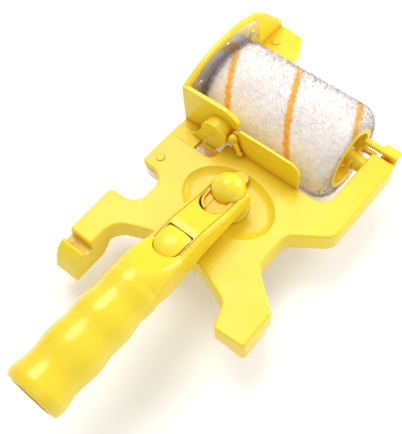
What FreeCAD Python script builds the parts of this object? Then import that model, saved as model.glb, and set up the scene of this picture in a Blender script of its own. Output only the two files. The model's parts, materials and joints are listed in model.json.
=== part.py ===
"""Roller paint edger: a guided frame carries a nap roller, a hinged corner shield and a ball-jointed handle.

Row frame: +Z up, +X towards the roller's arm, +Y towards the roller. X = Y = 0 is the ball stud's axis and
Z = 0 is the plane that the free nap touches.  Sizes are millimetres.
"""
import FreeCAD, Part
import math
import os
import Sketcher
from FreeCAD import Placement, Rotation, Vector

doc = FreeCAD.newDocument("PaintEdger")
sheet = doc.addObject("Spreadsheet::Sheet", "Sizes")

SIZES = {
    # frame
    "plate_top": 35.2, "skin": 2.4, "skirt": 13.0, "plate_round": 1.2, "fence_height": 19.0,
    "fence_wall": 1.6, "face_wall": 2.1,
    # side guides
    "wheel_radius": 9.0, "wheel_width": 7.6, "foot_wheel_radius": 6.6, "axle_radius": 2.0,
    "running_gap": 0.06,
    # roller
    "nap_radius": 30.0, "nap_bore": 19.05, "nap_left": -52.5, "nap_right": 32.5, "core_wall": 1.4,
    "spindle_radius": 4.7,
    # ball joint
    "ball_radius": 9.3, "ball_lift": 14.3, "neck_radius": 5.0, "socket_gap": 0.1,
    # shield
    "wall": 2.5, "hinge_x": -30.5, "hinge_lift": 10.6, "drum_radius": 8.2, "steel": 0.7,
    "pin_radius": 1.6,
    # handle
    "grip_lift": 18.2, "grip_end": 142.0, "pole_radius": 9.6, "pole_depth": 42.0,
}


def fill_sheet():
    """Write each driving size into the sheet under its own alias."""
    for row, (alias, value) in enumerate(SIZES.items(), start=1):
        sheet.set("A%d" % row, alias)
        sheet.set("B%d" % row, str(value))
        sheet.setAlias("B%d" % row, alias)
    doc.recompute()


fill_sheet()


def size(alias):
    """A driving size, read back from the sheet."""
    return float(sheet.get(alias))


TOP = size("plate_top")
AXES = {"X": Rotation(Vector(0, 0, 1), Vector(1, 0, 0)), "Y": Rotation(Vector(0, 0, 1), Vector(0, 1, 0)),
        "Z": Rotation(), "-X": Rotation(Vector(0, 0, 1), Vector(-1, 0, 0)),
        "-Y": Rotation(Vector(0, 0, 1), Vector(0, -1, 0)), "-Z": Rotation(Vector(1, 0, 0), 180)}


# ---------------------------------------------------------------- feature helpers
def body(label):
    """An empty PartDesign body."""
    return doc.addObject("PartDesign::Body", label)


def sketch(owner, plane, level):
    """A sketch on one of the body's origin planes, raised along the plane's normal by an expression."""
    made = owner.newObject("Sketcher::SketchObject", owner.Name + "_sketch")
    support = next(f for f in owner.Origin.OriginFeatures if f.Role == plane)
    made.AttachmentSupport = [(support, "")]
    made.MapMode = "FlatFace"
    made.setExpression("AttachmentOffset.Base.z", str(level))
    return made


def corner(before, here, after, radius):
    """Start, end and arc of one rounded corner."""
    if radius == 0:
        return here, here, None
    back, on = (before - here).normalize(), (after - here).normalize()
    half = back.getAngle(on) / 2
    start, end = here + back * (radius / math.tan(half)), here + on * (radius / math.tan(half))
    inward = (back + on).normalize()
    middle = here + inward * (radius / math.sin(half) - radius)
    return start, end, Part.Arc(start, middle, end)


def outline(made, corners):
    """Close a loop of straight edges; each corner is (across, up, radius)."""
    points = [Vector(a, b, 0) for a, b, _ in corners]
    done = []
    for i, (_, _, radius) in enumerate(corners):
        done.append(corner(points[i - 1], points[i], points[(i + 1) % len(points)], radius))
    for i, (start, end, arc) in enumerate(done):
        if (start - done[i - 1][1]).Length > 1e-5:
            made.addGeometry(Part.LineSegment(done[i - 1][1], start), False)
        if arc:
            made.addGeometry(arc, False)


def circle(made, x, y, radius):
    """A circle whose radius follows an expression."""
    value = size(radius) if radius in SIZES else float(radius)
    index = made.addGeometry(Part.Circle(Vector(x, y, 0), Vector(0, 0, 1), value), False)
    made.addConstraint(Sketcher.Constraint("Radius", index, value))
    if radius in SIZES:
        made.setExpression("Constraints[%d]" % (made.ConstraintCount - 1), "Sizes." + radius)


def ellipse(made, x, y, wide, deep):
    """An ellipse with its long axis across."""
    made.addGeometry(Part.Ellipse(Vector(x, y, 0), wide, deep), False)


def swept(owner, kind, made, length, reverse=False):
    """Pad or pocket a sketch by a length given as an expression; a pocket must remove material."""
    feature = owner.newObject("PartDesign::" + kind, made.Name + "_" + kind.lower())
    before = None
    if kind == "Pocket":
        doc.recompute()
        before = feature.BaseFeature.Shape.Volume if feature.BaseFeature else None
    feature.Profile = made
    feature.setExpression("Length", str(length))
    feature.Reversed = reverse
    made.Visibility = False
    doc.recompute()
    if before is not None and feature.Shape.Volume > before - 1e-3:
        feature.Reversed = not reverse
        doc.recompute()
        if feature.Shape.Volume > before - 1e-3:
            raise RuntimeError(made.Name + " removes nothing")
    return feature


def pad(owner, plane, level, length, corners=None, rings=(), reverse=False):
    """Sketch and pad in one step: an outline, circles, or both."""
    made = sketch(owner, plane, level)
    if corners:
        outline(made, corners)
    for ring in rings:
        circle(made, *ring)
    return swept(owner, "Pad", made, length, reverse)


def pocket(owner, plane, level, length, corners=None, rings=(), reverse=False):
    """Sketch and pocket in one step."""
    made = sketch(owner, plane, level)
    if corners:
        outline(made, corners)
    for ring in rings:
        circle(made, *ring)
    return swept(owner, "Pocket", made, length, reverse)


def fillet(owner, base, radius, wanted):
    """Round the edges that the test picks."""
    names = ["Edge%d" % (i + 1) for i, edge in enumerate(base.Shape.Edges) if wanted(edge)]
    feature = owner.newObject("PartDesign::Fillet", owner.Name + "_round")
    feature.Base = (base, names)
    feature.setExpression("Radius", str(radius))
    doc.recompute()
    return feature


def turned(label, profile, at, axis):
    """Turn a profile of (along, radius) points about its own axis; at and axis place the piece."""
    made_body = body(label)
    made = sketch(made_body, "XZ_Plane", 0)
    outline(made, [(step[1], step[0], step[2] if len(step) > 2 else 0) for step in profile])
    feature = made_body.newObject("PartDesign::Revolution", label + "_turn")
    feature.Profile = made
    feature.ReferenceAxis = (made, ["V_Axis"])
    feature.Angle = 360
    made_body.Placement = Placement(Vector(*at), AXES[axis])
    doc.recompute()
    return made_body


def group(label, pieces):
    """Identical fasteners as one node of separate solids."""
    made = doc.addObject("Part::Compound", label)
    made.Links = pieces
    doc.recompute()
    return made


def shaped(label, shape):
    """A piece whose shape is made by Part's own functions."""
    made = doc.addObject("Part::Feature", label)
    made.Shape = shape
    return made


def top(level):
    """Expression for a height measured from the plate's top face."""
    return "Sizes.plate_top + (%g)" % level


def inset(corners, step):
    """The same outline moved inwards by one step; round corners keep their centres."""
    points = [Vector(a, b, 0) for a, b, _ in corners]
    count = len(points)
    area = sum(points[i - 1].x * points[i].y - points[i].x * points[i - 1].y for i in range(count))
    side = 1 if area > 0 else -1
    moved = []
    for i, (_, _, radius) in enumerate(corners):
        back = (points[i] - points[i - 1]).normalize()
        on = (points[(i + 1) % count] - points[i]).normalize()
        left_back, left_on = Vector(-back.y, back.x, 0) * side, Vector(-on.y, on.x, 0) * side
        turn = 1 + left_back.dot(left_on)
        shift = (left_back + left_on) * (step / turn)
        convex = (back.x * on.y - back.y * on.x) * side > 0
        radius = max(radius - step, 0.4) if convex else radius + step
        moved.append((points[i].x + shift.x, points[i].y + shift.y, radius))
    return moved


def blend(owner, kind, rings):
    """Loft between ellipses given as (level, x, y, wide, deep)."""
    made = []
    for level, x, y, wide, deep in rings:
        ring = sketch(owner, "XY_Plane", level)
        ellipse(ring, x, y, wide, deep)
        made.append(ring)
    feature = owner.newObject("PartDesign::" + kind, owner.Name + "_" + kind)
    feature.Profile = made[0]
    feature.Sections = made[1:]
    doc.recompute()
    return feature


def box(low, high):
    """A plain block between two corners."""
    return Part.makeBox(high[0] - low[0], high[1] - low[1], high[2] - low[2], Vector(*low))


# ---------------------------------------------------------------- base frame
PLATE = [(-39.4, 16.9, 1.5), (-39, -31.5, 10), (-57.8, -31.8, 3), (-57.8, -64, 1.5), (-42.5, -64, 1.5),
         (-42.2, -46.5, 12), (-22, -38, 15), (12, -38, 15), (33, -46, 6), (38.2, -60.2, 2),
         (56.2, -59, 2.5), (56.2, -36, 4), (35.4, -19.5, 8), (35.4, 3.5, 8), (56.5, 18, 10),
         (56.5, 75, 2), (41.8, 75, 1.5), (41.8, 30.2, 9), (-25.7, 30.5, 1.5), (-25.7, 16.5, 5)]
LOBE = [(-56.5, -7.5, 2.5), (-39.2, -8.5, 9), (-39.2, -22, 0), (-36, -22, 0), (-36, 16.9, 0),
        (-56.5, 17.2, 3)]
LOBE_AXLE = (-49.5, 0.2)
FOOT_AXLE = (-51.6, -67.9)
LUG_AXLE = (-49.5, 107.7)
SPINDLE = (67.5, -5.2)
LATCH = (78.5, -6.5)
LEVER = (-19.2, 12.8)


def plate(frame):
    """The skirted plate, hollow underneath, with the thin lobe that covers the front guide wheel."""
    pad(frame, "XY_Plane", top(-size("skirt")), "Sizes.skirt", PLATE)
    whole = pad(frame, "XY_Plane", top(-3), 3, LOBE)
    level = size("plate_top")
    rounded = fillet(frame, whole, "Sizes.plate_round",
                     lambda e: e.BoundBox.ZMin > level - 0.01)
    pocket(frame, "XY_Plane", top(-size("skirt")), "Sizes.skirt - Sizes.skin",
           inset(PLATE, size("skin")), reverse=True)
    return rounded


def ribs(frame):
    """Cross walls under the plate."""
    for y in (-26.0, 24.0):
        pad(frame, "XZ_Plane", -y, 1.6, [(-36.5, TOP - 12, 0), (33, TOP - 12, 0), (33, TOP - 2, 0),
                                         (-36.5, TOP - 2, 0)])


def dish(frame):
    """The shallow oval dish round the ball, the boss under it and the park tab on its rim."""
    blend(frame, "AdditiveLoft", [(top(-2), -1.3, 0.7, 28, 20), (top(-6), -1.3, 0.7, 25, 17.5)])
    pad(frame, "XY_Plane", top(-9), 4, rings=[(0, 0, 13)])
    blend(frame, "SubtractiveLoft", [(top(0.01), -1.3, 0.7, 28, 20), (top(-1.6), -1.3, 0.7, 26.4, 18.4),
                                     (top(-3), -1.3, 0.7, 22, 14.5)])
    pocket(frame, "XY_Plane", top(-9.5), 9, rings=[(0, 0, 5.96)], reverse=True)
    pad(frame, "XY_Plane", top(-3), 3.6, [(-9.6, 14.2, 1), (-0.6, 14.2, 1), (-0.6, 20.6, 4),
                                          (-9.6, 20.6, 4)])
    pocket(frame, "XY_Plane", top(0.7), 1.6, [(-6.6, 13, 0.5), (-3.6, 13, 0.5), (-3.6, 17, 1),
                                              (-6.6, 17, 1)])


def fence(frame):
    """The upright splash fence along the plate's front edge."""
    pad(frame, "XZ_Plane", -31.3, "Sizes.fence_wall",
        [(-18, TOP - 2, 0), (23.2, TOP - 2, 0), (23.2, TOP + size("fence_height"), 6.5),
         (-18, TOP + size("fence_height"), 3)])


def bracket(frame):
    """The ledge behind the lobe, the face plate with its round hinge boss, and the lever's ear."""
    pad(frame, "XY_Plane", top(-5.4), 3.4, [(-57, 12, 1), (-40, 12, 0), (-40, 26.2, 1), (-57, 26.2, 1)])
    pad(frame, "XZ_Plane", -26.3, "Sizes.face_wall",
        [(-38.6, TOP + 9.5, 0), (-46, TOP - 2, 6), (-57, TOP - 2.9, 1), (-57, TOP - 9, 2),
         (-46, TOP - 12.5, 4), (-34.9, TOP - 9.5, 1), (-23.8, TOP + 5.6, 0)])
    x, lift = size("hinge_x"), size("hinge_lift")
    pad(frame, "XZ_Plane", -26.3, "Sizes.face_wall", rings=[(x, TOP + lift, 8.6)])
    pad(frame, "XZ_Plane", -31.2, 1.6,
        [(-21.7, TOP - 1, 0), (-17, TOP - 1, 0), (-17, TOP + 15.6, 0.4), (-21.7, TOP + 15.6, 2.3)])
    pocket(frame, "XZ_Plane", -27, 4, rings=[(x, TOP + lift, "pin_radius")], reverse=True)
    pocket(frame, "XZ_Plane", -32, 6, rings=[(LEVER[0], TOP + LEVER[1], 1.2)])


def feet(frame):
    """The left foot that houses a guide wheel and the right skid."""
    pad(frame, "YZ_Plane", -57.8, 15.3,
        [(-52, TOP - 3, 0), (-63.9, TOP - 3, 0), (-63.9, TOP - 6.8, 0.6), (-69.1, TOP - 6.8, 0.6),
         (-69.4, TOP - 2.2, 1.4), (-74.6, TOP - 5.8, 4), (-77.4, TOP - 11, 6), (-80, TOP - 21, 1),
         (-58.5, TOP - 21, 3), (-50, TOP - 12.9, 4), (-50, TOP - 3, 0)])
    pocket(frame, "XY_Plane", top(-18.6), 8.9,
           [(-60, -75, 0), (-44.4, -75, 4), (-44.4, -60.6, 4), (-60, -60.6, 0)], reverse=True)
    pocket(frame, "XY_Plane", top(-22), 20, rings=[(FOOT_AXLE[0], FOOT_AXLE[1], "axle_radius")],
           reverse=True)
    pocket(frame, "XY_Plane", top(-5), 6, rings=[(LOBE_AXLE[0], LOBE_AXLE[1], "axle_radius")],
           reverse=True)
    pad(frame, "XY_Plane", top(-18), 16, [(46, -58.6, 1.5), (56, -58.8, 2.5), (56, -37, 4),
                                          (46, -41, 3)])


def arm_head(frame):
    """The arm's head block, the slim rail, the fork plate beside the roller and the latch's two ears."""
    y, lift = SPINDLE
    pad(frame, "XY_Plane", top(-12.8), 11, [(42.6, 59, 2), (55.8, 59, 2), (55.8, 74.4, 1.5),
                                            (42.6, 74.4, 1)])
    pad(frame, "XY_Plane", top(-4), 2.8, [(34.2, 74.5, 0.6), (44, 74.5, 0), (44, 76.7, 1),
                                          (34.2, 76.7, 1)])
    pad(frame, "YZ_Plane", 34.2, 1.8,
        [(61, TOP + lift - 6, 3), (74, TOP + lift - 6, 3), (76.7, TOP - 4.5, 2), (76.7, TOP - 1.2, 0.5),
         (61, TOP - 1.2, 3)])
    pocket(frame, "YZ_Plane", 34, 17, rings=[(y, TOP + lift, "spindle_radius")], reverse=True)
    y, lift = LATCH
    for x in (46.5, 52.5):
        pad(frame, "YZ_Plane", x, 2, [(74, TOP + lift - 2.6, 0), (y + 2.6, TOP + lift - 2.6, 2.5),
                                      (y + 2.6, TOP + lift + 2.6, 2.5), (74, TOP + lift + 2.6, 0)])
    pocket(frame, "YZ_Plane", 46, 9, rings=[(y, TOP + lift, "pin_radius")], reverse=True)


def base_frame():
    frame = body("base_frame")
    plate(frame)
    ribs(frame)
    dish(frame)
    fence(frame)
    bracket(frame)
    feet(frame)
    arm_head(frame)
    return frame


# ---------------------------------------------------------------- turning pieces
def wheel(label, centre, level, radius, width):
    """A crowned guide wheel that lies flat and turns about an upright axle."""
    bore = size("axle_radius") + size("running_gap")
    hub = radius * 0.44
    half = [(0, bore, 0.3), (0, hub, 0.3), (0.9, hub + 0.6, 0.3), (0.9, radius - 2.6, 0.3),
            (0, radius - 2.0, 0.3), (0.1, radius - 0.6, 0.5), (0.9, radius, 1.2)]
    profile = half + [(width - step[0], step[1], step[2]) for step in reversed(half)]
    return turned(label, profile, (centre[0], centre[1], TOP + level), "Z")


def axle(label, centre, low, high, head, foot):
    """A riveted axle: a shank with a low head above and a flange below."""
    shank = size("axle_radius")
    profile = [(low - 1.1, 0), (low - 1.1, foot, 0.4), (low, foot, 0.2), (low, shank), (high, shank),
               (high, head, 0.1), (high + 0.7, head, 0.4), (high + 0.7, 0)]
    return turned(label, profile, (centre[0], centre[1], TOP), "Z")


def guide_wheels():
    width = size("wheel_width")
    wheel("lobe_wheel", LOBE_AXLE, -3.6 - width, size("wheel_radius"), width)
    axle("lobe_axle", LOBE_AXLE, -3.7 - width, 0, 2.7, 3.6)
    wheel("foot_wheel", FOOT_AXLE, -18.1, size("foot_wheel_radius"), width)
    pin = [(-20.9, 0), (-20.9, 1.999), (-6.9, 1.999), (-6.9, 0)]
    turned("foot_axle", pin, (FOOT_AXLE[0], FOOT_AXLE[1], TOP), "Z")
    wheel("lug_wheel", LUG_AXLE, -3.6 - width, size("wheel_radius"), width)
    axle("lug_axle", LUG_AXLE, -3.7 - width, 0, 2.7, 3.6)


def roller():
    """Nap sleeve on a hard core, two cup-shaped end caps, and the spindle they turn on."""
    y, lift = SPINDLE
    centre = (0, y, TOP + lift)
    left, right = size("nap_left"), size("nap_right")
    inner, outer = size("nap_bore"), size("nap_radius")
    turned("nap_sleeve", [(left, inner), (left, outer - 6, 3), (left + 5, outer, 6),
                          (right - 7, outer, 8), (right, outer - 7, 5), (right, inner)], centre, "X")
    shell = inner - 0.05
    turned("roller_core", [(left, shell), (right, shell), (right, shell - size("core_wall")),
                           (left, shell - size("core_wall"))], centre, "X")
    turned("end_cap_right", end_cap(1, right), centre, "X")
    turned("end_cap_left", end_cap(-1, left), centre, "X")
    shaft = size("spindle_radius")
    turned("spindle", [(left + 0.3, 0), (left + 0.3, shaft - 0.6, 0.2), (left + 0.9, shaft, 0.2),
                       (left + 1.4, shaft), (left + 1.4, 3.9), (left + 2.4, 3.9), (left + 2.4, shaft),
                       (right - 2.4, shaft), (right - 2.4, 6.4, 0.3), (right - 1, 6.4, 0.3),
                       (right - 1, shaft), (49.8, shaft), (49.8, 0)], centre, "X")
    turned("spindle_clip", [(left + 1.5, 3.9), (left + 1.5, 6.6, 0.2), (left + 2.3, 6.6, 0.2),
                            (left + 2.3, 3.9)], centre, "X")


def end_cap(side, face):
    """Profile of one cap: flange over the core's end, cup wall, floor and hub."""
    bore = size("spindle_radius") + size("running_gap")
    skirt = size("nap_bore") - 0.05 - size("core_wall") - 0.02
    steps = [(-12, bore), (-12, 7.6), (-8.5, 7.6, 1), (-8.5, skirt, 0.8), (0, skirt), (0, 18.9, 0.2),
             (1, 18.9, 0.4), (1, 15.8, 0.4), (-6.5, 15.8, 1.5), (-6.5, 7.8, 1), (-2.5, 7.4, 0.5),
             (-2.5, bore, 0.2)]
    return [(face + side * step[0],) + step[1:] for step in steps]


# ---------------------------------------------------------------- corner shield
RIVETS = [(43.0, 18.0), (67.0, 27.5), (90.0, 18.0)]
ARCH = [(31.6, 24.6, 3), (52, 33.2, 50), (80, 33.6, 60), (101, 27, 30), (121, 4, 2)]


def shield_hood():
    """The corner shield: a near wall on the hinge, a tall end wall, a ledge and the lug over a wheel."""
    hood = body("shield_hood")
    pad(hood, "XZ_Plane", -34.1, "Sizes.wall",
        [(-58, TOP - 5.4, 0), (-58, TOP + 25, 0), (-27.5, TOP + 26.2, 8), (-18.2, TOP + 22, 3),
         (-21.8, TOP + 9, 3), (-29, TOP - 4.2, 3), (-40, TOP - 5.4, 3)])
    arch = [(a, TOP + b, c) for a, b, c in ARCH]
    pad(hood, "YZ_Plane", -58, "Sizes.wall + 0.1",
        [(31.6, 4.6, 3)] + arch + [(121, TOP - 3, 0.5), (98.2, TOP - 3, 1.5), (96, 4.6, 4)])
    pad(hood, "XY_Plane", top(-5.4), 1.8, [(-57.4, 26.6, 1.5), (-40, 26.6, 2), (-40, 32.4, 0),
                                           (-57.4, 32.4, 0)])
    x, lift = size("hinge_x"), size("hinge_lift")
    pad(hood, "XZ_Plane", -32, 5.5, rings=[(x, TOP + lift, "drum_radius")])
    pad(hood, "XY_Plane", top(-8), 8, [(-57.9, 98.6, 1), (-33, 100.4, 2), (-33.4, 109, 8),
                                       (-38.2, 119.6, 5), (-57.9, 120.9, 1)])
    pocket(hood, "XY_Plane", top(-9), 6, [(-60, 98.4, 0), (-35.2, 98.4, 0), (-35.6, 108.6, 6),
                                          (-39.6, 117.6, 3.5), (-60, 118.8, 0)], reverse=True)
    pocket(hood, "XZ_Plane", -35, 9, rings=[(x, TOP + lift, size("pin_radius") + size("running_gap"))])
    pocket(hood, "XY_Plane", top(-9), 12, rings=[(LUG_AXLE[0], LUG_AXLE[1], "axle_radius")],
           reverse=True)
    for y, lift in RIVETS:
        pocket(hood, "YZ_Plane", -59, 5, rings=[(y, TOP + lift, "pin_radius")], reverse=True)
    return hood


def edge_plate():
    """The thin steel plate riveted inside the end wall; its lower edge runs just past the plastic."""
    blade = body("edge_plate")
    arch = [(36, TOP + 22, 4), (52, TOP + 29.8, 45), (80, TOP + 30.2, 55), (97.8, TOP + 24, 6)]
    pad(blade, "YZ_Plane", -55.39, "Sizes.steel", [(36, 3, 3)] + arch + [(97.8, TOP - 2, 2), (93, 3, 3)])
    for y, lift in RIVETS:
        pocket(blade, "YZ_Plane", -56, 3, rings=[(y, TOP + lift, "pin_radius")], reverse=True)
    heads = []
    for number, (y, lift) in enumerate(RIVETS):
        pin = size("pin_radius")
        steel = -55.39 + size("steel")
        profile = [(-58.5, 0), (-58.5, 2.6, 0.4), (-58, 2.9), (-58, pin), (steel, pin), (steel, 2.6),
                   (steel + 0.5, 2.3, 0.3), (steel + 0.5, 0)]
        heads.append(turned("rivet_%d" % number, profile, (0, y, TOP + lift), "X"))
    group("edge_plate_rivets", heads)


def shield_fixings():
    """The shield's hinge pin and the ball-ended lock lever with its pin."""
    x, z = size("hinge_x"), TOP + size("hinge_lift")
    pin = size("pin_radius")
    turned("shield_hinge_pin", [(24.1, 0), (24.1, pin), (34.2, pin), (34.2, 2.8), (35, 2.5, 0.4), (35, 0)],
           (x, 0, z), "Y")
    turned("lever_pin", [(25.6, 0), (25.6, 2.2, 0.4), (26.3, 2.4), (26.3, 1.2), (31.2, 1.2), (31.2, 0)],
           (LEVER[0], 0, TOP + LEVER[1]), "Y")
    lever()


def lever():
    """A slim lever from its boss down to a ball end that rests just above the plate."""
    x, z = LEVER[0], TOP + LEVER[1]
    ball = Vector(-14.8, 27.9, TOP + 2.4)
    root = Vector(x, 27.9, z)
    boss = Part.makeCylinder(2.6, 2.7, Vector(x, 26.4, z), Vector(0, 1, 0))
    reach = ball - root
    arm = Part.makeCone(1.7, 1.25, reach.Length, root, reach)
    shape = boss.fuse(arm).fuse(Part.makeSphere(2.0, ball)).removeSplitter()
    slab = box((-40, 26.4, TOP - 5), (0, 29.1, TOP + 30))
    bore = Part.makeCylinder(1.26, 10, Vector(x, 22, z), Vector(0, 1, 0))
    shaped("shield_lock_lever", shape.common(slab).cut(bore))


# ---------------------------------------------------------------- roller latch
def roller_latch():
    """A latch in front of the arm's end: a long bar with a thumb tab, a leg and a hub between two ears."""
    y, lift = LATCH
    latch = body("roller_latch")
    pad(latch, "YZ_Plane", 48.6, 3.8, rings=[(y, TOP + lift, 2.4)])
    pad(latch, "YZ_Plane", 48.6, 3.8, [(y - 1.6, TOP + lift, 0), (y + 1.4, TOP + lift, 0),
                                       (y + 1.4, TOP, 0), (y - 1.6, TOP, 0)])
    pad(latch, "YZ_Plane", 34.2, 21.3, [(76.9, TOP - 1, 0.8), (81, TOP - 1, 1.2), (81, TOP + 2, 1.2),
                                        (76.9, TOP + 2, 1.2)])
    pad(latch, "YZ_Plane", 45, 10.5, [(78, TOP - 0.8, 0), (84, TOP - 0.8, 0.8), (84, TOP + 1.0, 0.8),
                                      (80, TOP + 1.9, 0), (78, TOP + 1.9, 0)])
    gap = size("pin_radius") + size("running_gap")
    pocket(latch, "YZ_Plane", 48, 6, rings=[(y, TOP + lift, gap)], reverse=True)
    pin = size("pin_radius")
    turned("latch_pin", [(45.7, 0), (45.7, 2.2, 0.4), (46.4, 2.4), (46.4, pin), (54.8, pin), (54.8, 0)],
           (0, y, TOP + lift), "X")


# ---------------------------------------------------------------- ball stud
def ball_stud():
    """The ball on its neck, the collar that sits in the dish and the tenon through the boss."""
    stud = body("ball_stud")
    neck, centre = size("neck_radius"), size("ball_lift")
    made = sketch(stud, "XZ_Plane", 0)
    outline(made, [(r, TOP + z, c) for r, z, c in
                   [(1.5, -9.2, 0), (5.9, -9.2, 0.4), (5.9, -2.9, 0), (11, -2.9, 0.4), (11, -1.4, 1),
                    (neck, 0.2, 2.5), (neck, centre, 0), (0, centre, 0), (0, 0, 0), (1.5, 0, 0)]])
    spun = stud.newObject("PartDesign::Revolution", "stud_turn")
    spun.Profile = made
    spun.ReferenceAxis = (made, ["V_Axis"])
    spun.Angle = 360
    ball = stud.newObject("PartDesign::AdditiveSphere", "ball")
    support = next(f for f in stud.Origin.OriginFeatures if f.Role == "XY_Plane")
    ball.AttachmentSupport = [(support, "")]
    ball.MapMode = "FlatFace"
    ball.setExpression("Radius", "Sizes.ball_radius")
    ball.setExpression("AttachmentOffset.Base.z", "Sizes.plate_top + Sizes.ball_lift")
    doc.recompute()
    turned("stud_washer", [(-10.4, 1.9), (-10.4, 9, 0.3), (-9.25, 9, 0.3), (-9.25, 1.9)], (0, 0, TOP), "Z")
    turned("stud_screw", [(-12.9, 0), (-12.9, 3, 0.6), (-10.4, 3.4), (-10.4, 1.5), (-0.4, 1.5), (-0.4, 0)],
           (0, 0, TOP), "Z")


# ---------------------------------------------------------------- handle
SIDE = [(6, 5.6, 2), (6, 15.0, 4), (-12, 17.4, 30), (-33, 22.8, 22), (-50, 22.9, 0), (-50, 3.4, 0),
        (-34, 4.4, 30)]
PLAN = [(11.2, 8, 0), (11.2, -14, 60), (10.9, -36, 60), (11.6, -52, 0), (26, -52, 0), (26, 8, 0)]
GROOVE = [(-4, 15.8, 0), (-12, 16.9, 30), (-33, 22.3, 22), (-48, 22.4, 0), (-48, 26, 0), (-30, 26, 0),
          (-4, 20, 0)]
NECK = [(-49, 11.5, 3.4, 22.9, 2.6), (-58, 12.7, 3.1, 27.4, 5), (-71, 14.55, 3.65, 32.75, 14.5)]
GRIP = [(-69.5, 0, 0), (-69.5, 14.3, 0), (-75, 15.1, 12), (-84, 14.2, 18), (-93.5, 15.7, 25),
        (-103.5, 14.7, 25), (-114.5, 16.1, 32), (-127, 14.5, 30), (-137.5, 16.2, 8), (-142, 15, 1.5),
        (-142, 0, 0)]


def yoke(handle):
    """The yoke: a side profile trimmed to its plan, with rounded long edges and two fine top grooves."""
    pad(handle, "YZ_Plane", -17, 34, [(y, TOP + z, r) for y, z, r in SIDE])
    pocket(handle, "XY_Plane", top(-5), 50, PLAN, reverse=True)
    trimmed = pocket(handle, "XY_Plane", top(-5), 50, [(-x, y, r) for x, y, r in PLAN], reverse=True)

    def long_edge(edge):
        span = edge.BoundBox
        return span.YLength > 2 and abs(span.Center.x) > 9 and span.XMax * span.XMin > 0
    fillet(handle, trimmed, 2.4, long_edge)
    for x in (8.3, -8.8):
        pocket(handle, "YZ_Plane", x, 0.5, [(y, TOP + z, r) for y, z, r in GROOVE], reverse=True)


def neck(handle):
    """The swelling between yoke and grip, lofted through three rounded sections."""
    rings = []
    for y, half, low, high, radius in NECK:
        ring = sketch(handle, "XZ_Plane", -y)
        outline(ring, [(-half, TOP + low, radius), (half, TOP + low, radius),
                       (half, TOP + high, radius), (-half, TOP + high, radius)])
        rings.append(ring)
    loft = handle.newObject("PartDesign::AdditiveLoft", "neck_loft")
    loft.Profile = rings[0]
    loft.Sections = rings[1:]
    doc.recompute()


def grip(handle):
    """The turned grip with its finger waves and flared end."""
    made = sketch(handle, "YZ_Plane", 0)
    made.setExpression("AttachmentOffset.Base.y", "Sizes.plate_top + Sizes.grip_lift")
    outline(made, GRIP)
    spun = handle.newObject("PartDesign::Revolution", "grip_turn")
    spun.Profile = made
    spun.ReferenceAxis = (made, ["H_Axis"])
    spun.Angle = 360
    doc.recompute()


COVER = ((-8.6, -61.5), (8.6, -24.5))
SCREWS = [(-5.9, -27.0), (5.9, -58.5)]


def frame_of(low, high):
    """Corners of a plain rectangle."""
    return [(low[0], low[1], 0), (high[0], low[1], 0), (high[0], high[1], 0), (low[0], high[1], 0)]


def deck_plan(half, front, back):
    """A D-shaped plan: straight at the front, round at the back."""
    return [(-half, front, 0.6), (half, front, 0.6), (half, back, half - 0.2), (-half, back, half - 0.2)]


def handle_body():
    """Handle with the ball slot, the button chamber, the screw holes and the pole bore."""
    handle = body("handle_body")
    yoke(handle)
    neck(handle)
    grip(handle)
    pocket(handle, "XY_Plane", top(9), 30, [(-7.8, 12, 0), (7.8, 12, 0), (7.8, -19.4, 7.6),
                                            (-7.8, -19.4, 7.6)], reverse=True)
    pocket(handle, "XY_Plane", top(2), size("ball_lift"), frame_of((-5.6, -5.6), (5.6, 12)), reverse=True)
    seat = handle.newObject("PartDesign::SubtractiveSphere", "seat")
    support = next(f for f in handle.Origin.OriginFeatures if f.Role == "XY_Plane")
    seat.AttachmentSupport = [(support, "")]
    seat.MapMode = "FlatFace"
    seat.setExpression("Radius", "Sizes.ball_radius + Sizes.socket_gap")
    seat.setExpression("AttachmentOffset.Base.z", "Sizes.plate_top + Sizes.ball_lift")
    pocket(handle, "XY_Plane", top(-2), 21.8, frame_of((-8.6, -56.5), (8.6, -29.5)), reverse=True)
    pocket(handle, "XY_Plane", top(-2), 9.2, frame_of(*COVER), reverse=True)
    pocket(handle, "XY_Plane", top(18), 20, deck_plan(7.75, -36.3, -54.3), reverse=True)
    pocket(handle, "XZ_Plane", 18, 14, rings=[(0, TOP + 11.5, 2.56)], reverse=True)
    pocket(handle, "XZ_Plane", 143, 48, rings=[(0, TOP + 18.2, 12)])
    for x, y in SCREWS:
        pocket(handle, "XY_Plane", top(6), 8, rings=[(x, y, 1.2)], reverse=True)


def handle_cover():
    """The cover that closes the chamber from below, with two countersunk screws."""
    cover = body("handle_cover")
    pad(cover, "YZ_Plane", -8.52, 17.04,
        [(-24.6, TOP + 4.7, 0.3), (-34, TOP + 4.45, 0), (-49, TOP + 3.42, 0), (-61.4, TOP + 3.1, 0.3),
         (-61.4, TOP + 7.12, 0.3), (-24.6, TOP + 7.12, 0.3)])
    screws = []
    for number, (x, y) in enumerate(SCREWS):
        pocket(cover, "XY_Plane", top(-2), 12, rings=[(x, y, 1.4)], reverse=True)
        pocket(cover, "XY_Plane", top(-2), 7.9, rings=[(x, y, 2.5)], reverse=True)
        profile = [(5.2, 0), (5.2, 1.0), (4.75, 1.0), (4.75, 2.3, 0.2), (5.85, 2.3), (5.85, 1.19),
                   (13, 1.19, 0.4), (13, 0)]
        screws.append(turned("cover_screw_%d" % number, profile, (x, y, TOP), "Z"))
    group("cover_screws", screws)


def prism_x(half, points):
    """A prism across the handle from (y, height) points."""
    corners = [Vector(-half, y, TOP + z) for y, z in points]
    return Part.Face(Part.makePolygon(corners + corners[:1])).extrude(Vector(2 * half, 0, 0))


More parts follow.
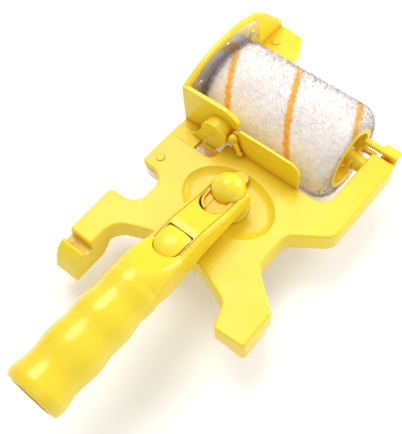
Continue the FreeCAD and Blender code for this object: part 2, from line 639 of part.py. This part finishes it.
def upright(corners, low, height):
    """A prism over a rounded plan."""
    points = [Vector(a, b, low) for a, b, _ in corners]
    edges = []
    done = [corner(points[i - 1], points[i], points[(i + 1) % len(points)], corners[i][2])
            for i in range(len(points))]
    for i, (start, _, arc) in enumerate(done):
        edges.append(Part.makeLine(done[i - 1][1], start))
        edges.append(arc.toShape())
    return Part.Face(Part.Wire(edges)).extrude(Vector(0, 0, height))


def lock_parts():
    """The push button and the spring-loaded jaw that clamps the ball; a 45 degree wedge links them."""
    cap = upright(deck_plan(7.4, -37.05, -53.95), TOP + 17.7, 8.4)
    dome = Part.makeSphere(18, Vector(0, -45.5, TOP + 25.6 - 18))
    flange = upright(deck_plan(8.4, -35.8, -55.2), TOP + 17.7, 2.02)
    leg = prism_x(4.2, [(-36.9, 18), (-36.9, 9.2), (-37.5, 9.2), (-42.4, 14.1), (-42.4, 18)])
    leg = leg.cut(box((-2.7, -45, TOP), (2.7, -35, TOP + 17.7)))
    shaped("lock_button", cap.common(dome).fuse(flange).fuse(leg).removeSplitter())
    saddle = upright(deck_plan(7.68, -5.5, -17.6), TOP + 9.15, 7.45)
    tray = upright(deck_plan(6.3, -5.5, -16.2), TOP + 15.3, 5)
    ball = Part.makeSphere(size("ball_radius") + 0.15, Vector(0, 0, TOP + size("ball_lift")))
    notch = box((-2.2, -20, TOP + 15), (2.2, 0, TOP + 20))
    rod = Part.makeCylinder(2.5, 27, Vector(0, -17, TOP + 11.5), Vector(0, -1, 0))
    wedge = prism_x(4.5, [(-36.9, 8.4), (-43.5, 15), (-49, 15), (-49, 8.4)])
    shaped("lock_jaw", saddle.cut(tray).cut(ball).cut(notch).fuse(rod).fuse(wedge).removeSplitter())


def coil(start, direction, radius, wire, turns, length):
    """A closed-section spring wound about its own axis."""
    pitch = length / turns
    path = Part.Wire(Part.makeHelix(pitch, length, radius).Edges)
    edge = path.Edges[0]
    first = edge.valueAt(edge.FirstParameter)
    profile = Part.Wire(Part.Circle(first, edge.tangentAt(edge.FirstParameter), wire).toShape())
    spring = path.makePipeShell([profile], True, True)
    spring.Placement = Placement(Vector(*start), AXES[direction])
    return spring


def springs():
    """Two button springs and the jaw's return spring."""
    pair = [coil((x, -46, TOP + 7.5), "Z", 1.25, 0.22, 7, 9.9) for x in (-6.5, 6.5)]
    shaped("button_springs", Part.makeCompound(pair))
    shaped("jaw_spring", coil((0, -49.4, TOP + 11.5), "-Y", 2.0, 0.3, 5, 6.7))


def pole_socket():
    """The socket insert for an extension pole, set back a little inside the grip's open end."""
    mouth, bore = 2 - size("grip_end"), size("pole_radius")
    floor = mouth + size("pole_depth")
    turned("pole_socket", [(mouth, bore, 0.5), (mouth, 11.98, 0.3), (floor + 2.9, 11.98), (floor + 2.9, 2),
                           (floor, 2), (floor, bore, 1)], (0, 0, TOP + size("grip_lift")), "Y")


# ---------------------------------------------------------------- build and write
base_frame()
guide_wheels()
roller()
shield_hood()
edge_plate()
shield_fixings()
roller_latch()
ball_stud()
handle_body()
handle_cover()
lock_parts()
springs()
pole_socket()
doc.recompute()

NODES = ["base_frame", "lobe_wheel", "lobe_axle", "foot_wheel", "foot_axle", "lug_wheel", "lug_axle",
         "nap_sleeve", "roller_core", "end_cap_right", "end_cap_left", "spindle", "spindle_clip",
         "shield_hood", "edge_plate", "edge_plate_rivets", "shield_hinge_pin", "lever_pin",
         "shield_lock_lever", "roller_latch", "latch_pin", "ball_stud", "stud_washer", "stud_screw",
         "handle_body", "handle_cover", "cover_screws", "lock_button", "lock_jaw", "button_springs",
         "jaw_spring", "pole_socket"]

for item in doc.Objects:
    if "Invalid" in item.State or "Error" in item.State:
        raise RuntimeError(item.Label + " did not rebuild")

os.makedirs("parts", exist_ok=True)
for node in NODES:
    shape = doc.getObjectsByLabel(node)[0].Shape
    if shape.isNull() or not shape.isValid():
        raise RuntimeError(node + " has no sound shape")
    shape.exportStep("parts/" + node + ".step")
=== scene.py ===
"""Looks of the roller paint edger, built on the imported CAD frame."""

import json
import math
import random

import bmesh
import bpy
from mathutils import Matrix, Vector


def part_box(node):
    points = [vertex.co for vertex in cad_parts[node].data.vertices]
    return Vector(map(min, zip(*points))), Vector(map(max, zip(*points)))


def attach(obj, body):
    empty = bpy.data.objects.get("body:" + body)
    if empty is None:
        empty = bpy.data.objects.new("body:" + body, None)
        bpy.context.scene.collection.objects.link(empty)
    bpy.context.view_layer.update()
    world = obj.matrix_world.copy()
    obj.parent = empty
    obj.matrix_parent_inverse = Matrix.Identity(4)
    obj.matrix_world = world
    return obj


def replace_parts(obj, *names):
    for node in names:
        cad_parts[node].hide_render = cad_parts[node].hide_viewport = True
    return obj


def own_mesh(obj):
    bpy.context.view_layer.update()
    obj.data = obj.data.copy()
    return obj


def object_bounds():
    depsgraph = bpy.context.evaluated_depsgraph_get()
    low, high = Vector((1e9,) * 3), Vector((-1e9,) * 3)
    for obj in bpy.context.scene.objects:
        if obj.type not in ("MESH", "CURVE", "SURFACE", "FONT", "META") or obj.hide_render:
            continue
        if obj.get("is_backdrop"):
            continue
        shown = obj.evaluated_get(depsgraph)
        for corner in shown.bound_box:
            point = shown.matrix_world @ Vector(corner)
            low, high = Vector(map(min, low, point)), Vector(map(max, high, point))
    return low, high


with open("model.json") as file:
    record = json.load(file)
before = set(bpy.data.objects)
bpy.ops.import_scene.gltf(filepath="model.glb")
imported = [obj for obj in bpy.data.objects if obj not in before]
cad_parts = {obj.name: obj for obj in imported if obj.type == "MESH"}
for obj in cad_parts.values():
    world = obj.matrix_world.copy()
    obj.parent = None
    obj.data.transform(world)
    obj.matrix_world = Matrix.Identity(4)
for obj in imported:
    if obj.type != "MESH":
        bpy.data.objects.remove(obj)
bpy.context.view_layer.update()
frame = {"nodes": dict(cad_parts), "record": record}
NODES = frame["nodes"]


# ---------------------------------------------------------------- shader helpers
class Shader:
    """A material's node tree with short calls for the nodes used here."""

    def __init__(self, name):
        self.material = bpy.data.materials.new(name)
        self.material.use_nodes = True
        self.tree = self.material.node_tree
        self.surface = self.tree.nodes["Principled BSDF"]
        self.coords = self.add("ShaderNodeTexCoord").outputs["Object"]

    def add(self, kind, **settings):
        node = self.tree.nodes.new(kind)
        for key, value in settings.items():
            setattr(node, key, value)
        return node

    def join(self, source, target):
        if hasattr(source, "is_output"):
            self.tree.links.new(source, target)
        else:
            target.default_value = source

    def set(self, **values):
        for key, value in values.items():
            self.join(value, self.surface.inputs[key.replace("_", " ")])

    def noise(self, scale, detail=4.0, rough=0.55, vector=None, stretch=None):
        source = vector or self.coords
        if stretch:
            mapping = self.add("ShaderNodeMapping")
            mapping.inputs["Scale"].default_value = stretch
            self.join(source, mapping.inputs["Vector"])
            source = mapping.outputs[0]
        node = self.add("ShaderNodeTexNoise")
        self.join(source, node.inputs["Vector"])
        node.inputs["Scale"].default_value = scale
        node.inputs["Detail"].default_value = detail
        node.inputs["Roughness"].default_value = rough
        return node.outputs["Fac"]

    def ramp(self, value, low, high, out_low=0.0, out_high=1.0):
        node = self.add("ShaderNodeMapRange")
        self.join(value, node.inputs["Value"])
        limits = {"From Min": low, "From Max": high, "To Min": out_low, "To Max": out_high}
        for key, number in limits.items():
            self.join(number, node.inputs[key])
        return node.outputs["Result"]

    def maths(self, operation, *values):
        node = self.add("ShaderNodeMath", operation=operation)
        for index, value in enumerate(values):
            self.join(value, node.inputs[index])
        return node.outputs[0]

    def mix(self, factor, first, second, blend="MIX"):
        node = self.add("ShaderNodeMix", data_type="RGBA", blend_type=blend)
        self.join(factor, node.inputs[0])
        for index, colour in ((6, first), (7, second)):
            self.join(colour if hasattr(colour, "is_output") else rgba(colour), node.inputs[index])
        return node.outputs[2]

    def bump(self, height, strength, distance, normal=None):
        node = self.add("ShaderNodeBump")
        self.join(height, node.inputs["Height"])
        node.inputs["Strength"].default_value = strength
        node.inputs["Distance"].default_value = distance
        if normal is not None:
            self.join(normal, node.inputs["Normal"])
        return node.outputs[0]

    def rounded(self, radius):
        node = self.add("ShaderNodeBevel")
        node.samples = 4
        node.inputs["Radius"].default_value = radius
        return node.outputs[0]

    def crevice(self, distance):
        node = self.add("ShaderNodeAmbientOcclusion")
        node.samples = 8
        node.inputs["Distance"].default_value = distance
        return node.outputs["AO"]


def rgba(colour):
    """Hex string or number triple as linear RGBA."""
    if isinstance(colour, str):
        parts = [int(colour[i:i + 2], 16) / 255 for i in (0, 2, 4)]
        colour = [c / 12.92 if c <= 0.04045 else ((c + 0.055) / 1.055) ** 2.4 for c in parts]
    return (*colour[:3], 1.0)


# ---------------------------------------------------------------- materials
def plastic(name, colour, shade_and_flow_colour, rough=0.34, grain=0.10, radius=0.0005, coat=0.12):
    """Injection-moulded plastic: faint flow marks, scuffs and softened edges, with warm shade painted into
    its crevices.
    """
    s = Shader(name)
    # painted shade: crevices and hollows, found by occlusion, take the darker second colour
    painted_crevice_shade = s.ramp(s.crevice(0.007), 0.15, 0.8)
    flow = s.ramp(s.noise(26, 3, 0.5, stretch=(1, 0.35, 1)), 0.3, 0.7, 0.0, 1.0)
    tone = s.mix(s.maths("MULTIPLY", flow, 0.10), colour, shade_and_flow_colour)
    tone = s.mix(painted_crevice_shade, shade_and_flow_colour, tone)
    smudge = s.noise(60, 5, 0.62)
    fine = s.noise(2600, 2, 0.5)
    scuffs = s.ramp(s.noise(900, 3, 0.7, stretch=(1, 0.08, 1)), 0.62, 0.74)
    roughness = s.maths("ADD", s.ramp(smudge, 0.3, 0.7, rough - 0.05, rough + 0.09),
                        s.maths("MULTIPLY", scuffs, 0.14))
    skin = s.maths("ADD", s.maths("MULTIPLY", fine, 0.5), s.maths("MULTIPLY", smudge, 0.8))
    s.set(Base_Color=tone, Roughness=roughness, IOR=1.5, Coat_Weight=coat, Coat_Roughness=0.14,
          Specular_IOR_Level=0.4, Subsurface_Weight=0.12, Subsurface_Scale=0.003,
          Subsurface_Radius=(1.0, 0.5, 0.02),
          Normal=s.bump(skin, grain, 0.00012, s.rounded(radius)))
    return s.material


def metal(name, colour, rough, direction, radius=0.0002):
    """Rolled or turned metal with fine directional brushing and handling marks."""
    s = Shader(name)
    brush = s.noise(420, 4, 0.6, stretch=direction)
    spots = s.noise(45, 5, 0.6)
    tone = s.mix(s.ramp(spots, 0.35, 0.7, 0.0, 0.55), colour, (0.33, 0.30, 0.34))
    s.set(Base_Color=tone, Metallic=1.0, Roughness=s.ramp(brush, 0.25, 0.75, rough - 0.06, rough + 0.12),
          Normal=s.bump(brush, 0.25, 0.00006, s.rounded(radius)))
    return s.material


YELLOW = "F1D72A"
# darker orange-yellow: the faint flow-mark tone and the painted shade in crevices
SHADE_AND_FLOW_YELLOW = "E59600"
# each plastic's second colour is painted shade in its crevices; the jaw's strong orange paints the warm glow
# of light bounced between the ball and the jaw
looks = {
    "frame_plastic": plastic("frame_yellow", YELLOW, SHADE_AND_FLOW_YELLOW),
    "shield_plastic": plastic("shield_yellow", YELLOW, SHADE_AND_FLOW_YELLOW, 0.32),
    "handle_plastic": plastic("handle_yellow", YELLOW, SHADE_AND_FLOW_YELLOW, 0.24, coat=0.3),
    "cover_plastic": plastic("cover_yellow", "EDD42E", SHADE_AND_FLOW_YELLOW, 0.42),
    "button_plastic": plastic("button_yellow", "F3DB30", SHADE_AND_FLOW_YELLOW, 0.25),
    "jaw_plastic": plastic("jaw_yellow", "EFC814", "EC8E00", 0.42),
    "ball_plastic": plastic("ball_yellow", "F3DB30", SHADE_AND_FLOW_YELLOW, 0.22, coat=0.3),
    "latch_plastic": plastic("latch_yellow", YELLOW, SHADE_AND_FLOW_YELLOW, 0.3),
    "lever_plastic": plastic("lever_yellow", "F3DB30", SHADE_AND_FLOW_YELLOW, 0.3),
    "spindle_plastic": plastic("spindle_yellow", YELLOW, SHADE_AND_FLOW_YELLOW, 0.3),
    "pin_plastic": plastic("pin_yellow", "EACE2A", SHADE_AND_FLOW_YELLOW, 0.38),
    "socket_plastic": plastic("socket_yellow", "E8CA26", SHADE_AND_FLOW_YELLOW, 0.4),
    "core_plastic": plastic("core_white", "EDE8DC", "B7A88C", 0.45, coat=0.0),
    "cap_plastic": plastic("cap_cream", "EDCF28", "DD9200", 0.4, coat=0.0),
    "wheel_plastic": plastic("wheel_white", "F0EEE6", "B9B4A6", 0.33),
    "bright_steel": metal("edge_steel", (0.78, 0.76, 0.80), 0.22, (1, 0.03, 1)),
    "rivet_steel": metal("rivet_steel", (0.6, 0.58, 0.6), 0.32, (1, 1, 0.1)),
    "spring_steel": metal("spring_steel", (0.55, 0.55, 0.58), 0.28, (1, 1, 0.1)),
    "fastener_steel": metal("fastener_steel", (0.62, 0.62, 0.64), 0.3, (1, 1, 0.1)),
    "axle_plastic": plastic("axle_yellow", "EED430", SHADE_AND_FLOW_YELLOW, 0.33),
}

SLOT_OF = {row["node"]: row["material_slot"] for row in frame["record"]["subparts"]}
for name, node in NODES.items():
    look = looks.get(SLOT_OF.get(name))
    if look:
        node.data.materials.clear()
        node.data.materials.append(look)


# ---------------------------------------------------------------- nap
FIBRES = 90000
FIBRE_LENGTH = (0.0015, 0.0027)
FIBRE_HALF_WIDTH = (0.00010, 0.00016)
FIBRE_ROOT_DEPTH = 0.0003
FIBRE_LEAN = (8, 75, 24)     # degrees off the surface: least, most, usual
FIBRE_CURL = 0.0006
PLATE_SIDE_REACH = 1.5       # fibres that face the steel plate are longer, and reach through it
PLATE_SIDE_TILT = -0.3
NAP_CLEAR = 0.0004           # gap between the base sleeve and the CAD sleeve's ends
PILE_DEPTH = 0.0018
HUB_RADIUS = 0.0192
LEFT_SHOULDER = (0.0026, 0.0040)     # along the axis, towards the axis
RIGHT_SHOULDER = (0.0076, 0.0072)
SHOULDER_STEPS = 8
BASE_ROW = 0.0011
BASE_AROUND = 170
BASE_SWELL = 0.0004
BASE_LOBES, BASE_TWIST = 5, 190
BASE_GRAIN = 0.00025
SWELL_FROM = 0.021           # nearer the hub the sleeve stays round
STRIPE_AT_TOP = -0.0079
STRIPE_LEAD = 0.082
STRIPE_STARTS = 2.0
STRIPE_HALF_PITCH = 0.041
STRIPE_EDGE = (0.0014, 0.0029)
STRIPE_RAG = 0.0013
STRIPE_SHIFT = 20.5          # keeps the phase positive, with the ribbon at its middle
END_ROUNDING, END_PULL = 0.007, 0.035


def stripes(s):
    """How orange a point of the nap is: two ribbons wind round it, with ragged fibre edges."""
    low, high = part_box("nap_sleeve")
    centre = (low + high) / 2
    split = s.add("ShaderNodeSeparateXYZ")
    s.join(s.coords, split.inputs[0])
    along = s.maths("SUBTRACT", split.outputs["X"], STRIPE_AT_TOP)
    up = s.maths("SUBTRACT", split.outputs["Z"], centre.z)
    out = s.maths("SUBTRACT", split.outputs["Y"], centre.y)
    angle = s.maths("ARCTAN2", up, out)
    turn = s.maths("DIVIDE", s.maths("SUBTRACT", angle, math.radians(90)), 2 * math.pi)
    advance = s.maths("SUBTRACT", s.maths("DIVIDE", along, STRIPE_LEAD), turn)
    phase = s.maths("FRACT", s.maths("ADD", s.maths("MULTIPLY", advance, STRIPE_STARTS), STRIPE_SHIFT))
    away = s.maths("MULTIPLY", s.maths("ABSOLUTE", s.maths("SUBTRACT", phase, 0.5)), STRIPE_HALF_PITCH)
    ragged = s.ramp(s.noise(520, 4, 0.7), 0.3, 0.7, -STRIPE_RAG, STRIPE_RAG)
    return s.ramp(s.maths("ADD", away, ragged), *STRIPE_EDGE, 1.0, 0.0)


def pile_normal(s):
    """Fibres scatter light like one soft surface, so they are shaded by the direction out of the core."""
    low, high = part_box("nap_sleeve")
    centre, half = (low + high) / 2, (high.x - low.x) / 2
    away = s.add("ShaderNodeVectorMath", operation="SUBTRACT")
    s.join(s.coords, away.inputs[0])
    away.inputs[1].default_value = centre
    split = s.add("ShaderNodeSeparateXYZ")
    s.join(away.outputs[0], split.inputs[0])
    past = s.ramp(s.maths("ABSOLUTE", split.outputs["X"]), half - END_ROUNDING, half, 0.0, END_PULL)
    joined = s.add("ShaderNodeCombineXYZ")
    s.join(s.maths("MULTIPLY", past, s.maths("SIGN", split.outputs["X"])), joined.inputs[0])
    s.join(split.outputs["Y"], joined.inputs[1])
    s.join(split.outputs["Z"], joined.inputs[2])
    turned = s.add("ShaderNodeVectorTransform", vector_type="NORMAL",
                   convert_from="OBJECT", convert_to="WORLD")
    s.join(joined.outputs[0], turned.inputs[0])
    unit = s.add("ShaderNodeVectorMath", operation="NORMALIZE")
    s.join(turned.outputs[0], unit.inputs[0])
    own = s.add("ShaderNodeVectorMath", operation="MULTIPLY_ADD")
    s.join(s.add("ShaderNodeNewGeometry").outputs["Normal"], own.inputs[0])
    own.inputs[1].default_value = (0.4, 0.4, 0.4)
    s.join(unit.outputs[0], own.inputs[2])
    blended = s.add("ShaderNodeVectorMath", operation="NORMALIZE")
    s.join(own.outputs[0], blended.inputs[0])
    return blended.outputs[0]


def nap_material(name, lift):
    """Woven pile: cream fibres with orange ribbons, soft sheen and clumped tone."""
    s = Shader(name)
    clumps = s.ramp(s.noise(240, 4, 0.65), 0.32, 0.68)
    cream = s.mix(clumps, "F0E4DC", "FCF6F3")
    orange = s.mix(clumps, "F59A14", "FFC24A")
    tone = s.mix(stripes(s), cream, orange)
    s.set(Base_Color=tone, Roughness=0.92, Sheen_Weight=1.0, Sheen_Roughness=0.45,
          Normal=s.bump(s.noise(900, 4, 0.7), 0.3 * lift, 0.0004, pile_normal(s)))
    return s.material


def nap_line(left, right, top):
    """The pile's outline as (x, radius, outward x, outward radius): flat ends, round shoulders, a barrel."""
    left_along, left_in = LEFT_SHOULDER
    right_along, right_in = RIGHT_SHOULDER
    line = [(left, HUB_RADIUS, -1, 0), (left, top - left_in, -1, 0)]
    for step in range(1, SHOULDER_STEPS + 1):
        a = math.radians(90 * step / SHOULDER_STEPS)
        line.append((left + left_along * (1 - math.cos(a)), top - left_in + left_in * math.sin(a),
                     -math.cos(a), math.sin(a)))
    for step in range(SHOULDER_STEPS, 0, -1):
        a = math.radians(90 * step / SHOULDER_STEPS)
        line.append((right - right_along * (1 - math.cos(a)), top - right_in + right_in * math.sin(a),
                     math.cos(a), math.sin(a)))
    return line + [(right, top - right_in, 1, 0), (right, HUB_RADIUS, 1, 0)]


def nap():
    """A lofty sleeve under thousands of tapered fibres; it stands for the plain CAD sleeve."""
    low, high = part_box("nap_sleeve")
    centre = (low + high) / 2
    top = (high.z - low.z) / 2 - PILE_DEPTH
    line = nap_line(low.x + NAP_CLEAR, high.x - NAP_CLEAR, top)
    rng = random.Random(7)
    nap_base(line, centre, rng)
    fibres = bmesh.new()
    weights = [math.hypot(b[0] - a[0], b[1] - a[1]) * (a[1] + b[1]) for a, b in zip(line, line[1:])]
    for a, b, weight in zip(line, line[1:], weights):
        for _ in range(int(FIBRES * weight / sum(weights))):
            t = rng.random()
            x, r, tilt, rise = (p + (q - p) * t for p, q in zip(a, b))
            angle = rng.uniform(0, 2 * math.pi)
            radial = Vector((0, math.cos(angle), math.sin(angle)))
            root = Vector((x, centre.y, centre.z)) + radial * r
            reach = PLATE_SIDE_REACH if tilt < PLATE_SIDE_TILT else 1.0
            fibre(fibres, root, (radial * rise + Vector((tilt, 0, 0))).normalized(), reach, rng)
    pile = to_object("nap_fibres", fibres, nap_material("nap_fibre", 0.2))
    pile.visible_shadow = False
    pile.visible_diffuse = False
    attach(pile, "roller")


def nap_base(line, centre, rng):
    """The closed, slightly lumpy sleeve that the fibres grow from."""
    rows = []
    for (x0, r0, _, _), (x1, r1, _, _) in zip(line, line[1:]):
        count = max(1, int(math.hypot(x1 - x0, r1 - r0) / BASE_ROW))
        rows += [(x0 + (x1 - x0) * k / count, r0 + (r1 - r0) * k / count) for k in range(count)]
    rows.append(line[-1][:2])
    mesh = bmesh.new()
    grid = []
    for x, r in rows:
        ring = []
        for k in range(BASE_AROUND):
            a = 2 * math.pi * k / BASE_AROUND
            wave = math.sin(BASE_LOBES * a + BASE_TWIST * x)
            swell = BASE_SWELL * wave + BASE_GRAIN * rng.uniform(-1, 1)
            rr = r + swell * (r > SWELL_FROM)
            ring.append(mesh.verts.new((x, centre.y + rr * math.cos(a), centre.z + rr * math.sin(a))))
        grid.append(ring)
    for a, b in zip(grid, grid[1:] + grid[:1]):
        for k in range(BASE_AROUND):
            n = (k + 1) % BASE_AROUND
            mesh.faces.new((a[k], a[n], b[n], b[k]))
    sleeve = to_object("nap_pile", mesh, nap_material("nap_base", 1.0))
    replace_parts(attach(sleeve, "roller"), "nap_sleeve")


def fibre(mesh, root, out, reach, rng):
    """One bent, tapered fibre: a narrow ribbon that leans away from the surface and curls up at its tip."""
    aside = out.orthogonal().normalized()
    aside = Matrix.Rotation(rng.uniform(0, 2 * math.pi), 3, out) @ aside
    lift = math.radians(rng.triangular(*FIBRE_LEAN))
    length = rng.uniform(*FIBRE_LENGTH) * reach
    along = out * math.sin(lift) + aside * math.cos(lift)
    across = along.cross(out).normalized() * rng.uniform(*FIBRE_HALF_WIDTH)
    root = root - out * FIBRE_ROOT_DEPTH
    middle = root + along * length * 0.55
    tip = root + along * length + out * rng.uniform(0.0, FIBRE_CURL)
    corners = [mesh.verts.new(p) for p in (root - across, root + across, middle + across * 0.8,
                                           middle - across * 0.8, tip)]
    mesh.faces.new((corners[0], corners[1], corners[2], corners[3]))
    mesh.faces.new((corners[3], corners[2], corners[4]))


def to_object(name, mesh, look):
    """Turn a finished bmesh into a smooth-shaded object in the scene."""
    data = bpy.data.meshes.new(name)
    bmesh.ops.recalc_face_normals(mesh, faces=mesh.faces)
    mesh.to_mesh(data)
    mesh.free()
    for face in data.polygons:
        face.use_smooth = True
    data.materials.append(look)
    made = bpy.data.objects.new(name, data)
    bpy.context.scene.collection.objects.link(made)
    return made


nap()


# ---------------------------------------------------------------- springs
COIL_STEPS, WIRE_SIDES = 28, 8


def coil(mesh, start, along, radius, wire, turns, length):
    """A round wire wound about the line from start along one axis."""
    first = along.orthogonal().normalized()
    second = along.cross(first)
    steps = int(turns * COIL_STEPS)
    rings = []
    for k in range(steps + 1):
        angle = 2 * math.pi * turns * k / steps
        out = first * math.cos(angle) + second * math.sin(angle)
        centre = start + along * (length * k / steps) + out * radius
        rings.append([mesh.verts.new(centre + (out * math.cos(b) + along * math.sin(b)) * wire)
                      for b in (2 * math.pi * n / WIRE_SIDES for n in range(WIRE_SIDES))])
    for a, b in zip(rings, rings[1:]):
        for n in range(WIRE_SIDES):
            m = (n + 1) % WIRE_SIDES
            mesh.faces.new((a[n], a[m], b[m], b[n]))
    mesh.faces.new(rings[0][::-1])
    mesh.faces.new(rings[-1])


BUTTON_SPRING_X, BUTTON_SPRING_Y = 0.0065, -0.046
BUTTON_COIL, BUTTON_WIRE, BUTTON_TURNS = 0.00125, 0.00022, 7
JAW_COIL, JAW_WIRE, JAW_TURNS = 0.002, 0.0003, 5


def springs():
    """Wound springs; they stand for the rigid CAD springs."""
    steel = looks["spring_steel"]
    low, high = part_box("button_springs")
    up = high.z - low.z
    mesh = bmesh.new()
    for x in (-BUTTON_SPRING_X, BUTTON_SPRING_X):
        coil(mesh, Vector((x, BUTTON_SPRING_Y, low.z + BUTTON_WIRE)), Vector((0, 0, 1)), BUTTON_COIL,
             BUTTON_WIRE, BUTTON_TURNS, up - 2 * BUTTON_WIRE)
    pair = to_object("button_coils", mesh, steel)
    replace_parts(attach(pair, "handle"), "button_springs")
    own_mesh(pair)
    low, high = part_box("jaw_spring")
    back, middle = high.y - low.y, (low + high) / 2
    mesh = bmesh.new()
    coil(mesh, Vector((middle.x, low.y + JAW_WIRE, middle.z)), Vector((0, 1, 0)), JAW_COIL,
         JAW_WIRE, JAW_TURNS, back - 2 * JAW_WIRE)
    single = to_object("jaw_coil", mesh, steel)
    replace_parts(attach(single, "handle"), "jaw_spring")
    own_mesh(single)


springs()


# ---------------------------------------------------------------- floor, light and camera
FLOOR_HALF = 3.0
FLOOR_GAP = 0.0004
AIM = (0, 0, 0.03)
SURROUNDINGS = 0.6


def floor():
    """The white ground just under the tool."""
    low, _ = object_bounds()
    mesh = bmesh.new()
    corners = [(-FLOOR_HALF, -FLOOR_HALF), (FLOOR_HALF, -FLOOR_HALF),
               (FLOOR_HALF, FLOOR_HALF), (-FLOOR_HALF, FLOOR_HALF)]
    mesh.faces.new([mesh.verts.new((x, y, low.z - FLOOR_GAP)) for x, y in corners])
    s = Shader("paper")
    s.set(Base_Color=rgba((0.9, 0.9, 0.9)), Roughness=0.95, Emission_Color=rgba((1, 1, 1)),
          Emission_Strength=0.16, Specular_IOR_Level=0.1)
    to_object("floor", mesh, s.material)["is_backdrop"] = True


def lamp(name, place, aim, size, power, colour=(1, 1, 1)):
    """A round soft lamp at a place, turned towards its aim."""
    data = bpy.data.lights.new(name, "AREA")
    data.shape = "DISK"
    data.size = size
    data.energy = power
    data.color = colour
    lamp_object = bpy.data.objects.new(name, data)
    lamp_object.location = place
    lamp_object.rotation_euler = (Vector(aim) - Vector(place)).to_track_quat("-Z", "Y").to_euler()
    bpy.context.scene.collection.objects.link(lamp_object)
    lamp_object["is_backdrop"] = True


def studio():
    """White surroundings with a key, a fill and a rim lamp."""
    world = bpy.data.worlds.new("studio")
    world.use_nodes = True
    world.node_tree.nodes["Background"].inputs[0].default_value = (1, 1, 1, 1)
    world.node_tree.nodes["Background"].inputs[1].default_value = SURROUNDINGS
    bpy.context.scene.world = world
    bpy.context.scene.view_settings.view_transform = "Standard"
    lamp("key", (-0.4, 0.3, 1.0), AIM, 0.7, 6.2, (1, 0.99, 0.97))
    lamp("fill", (0.5, -0.6, 0.9), AIM, 0.8, 1.2, (0.98, 0.99, 1))
    lamp("rim", (0.35, 0.9, 0.45), (0, 0.05, 0.03), 0.6, 6.0)


def camera():
    """The viewpoint, from its bearing, height and roll."""
    data = bpy.data.cameras.new("camera")
    data.lens = 62.1
    data.sensor_width = 36
    data.clip_start = 0.01
    seat = Vector((0.1347, -0.1560, 0.3463 + 0.0352))
    right = Vector((0.76648, 0.64004, -0.05335))
    down = Vector((0.53599, -0.68321, -0.49593))
    ahead = Vector((-0.35387, 0.35153, -0.86672))
    turn = Matrix((right, -down, -ahead)).transposed().to_4x4()
    made = bpy.data.objects.new("camera", data)
    made.matrix_world = Matrix.Translation(seat) @ turn
    bpy.context.scene.collection.objects.link(made)
    bpy.context.scene.camera = made


floor()
studio()
camera()
